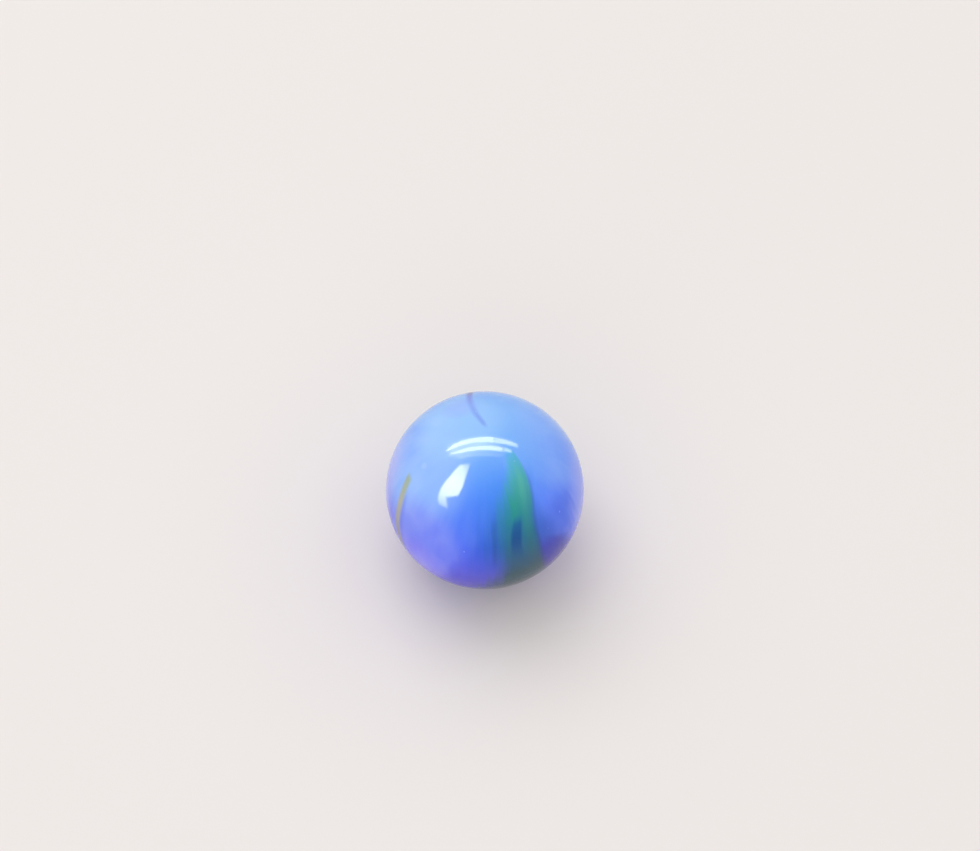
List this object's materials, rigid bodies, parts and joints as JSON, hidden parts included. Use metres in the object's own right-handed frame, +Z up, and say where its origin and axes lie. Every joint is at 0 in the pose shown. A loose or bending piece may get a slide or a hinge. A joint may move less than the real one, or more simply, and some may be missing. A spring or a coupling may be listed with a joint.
{
  "type": "glass marble",
  "caption": "Solid ball of opaque blue glass with a green ribbon and thin olive and violet streaks, for play, as a rolling ball or as a small bench part.",
  "frame": {"origin": "centre of the ball", "axes": "+Z up, through the middle of the pattern's upper side; -Y towards the viewer; +X to the viewer's right"},
  "size_m": [0.019, 0.019, 0.019],
  "materials": {
    "streaked_glass": "smooth fire-polished opaque glass, cornflower blue with streaks of green, olive and violet glass in the same mass"
  },
  "bodies": {
    "root": {"marble": "streaked_glass"}
  },
  "joints": []
}
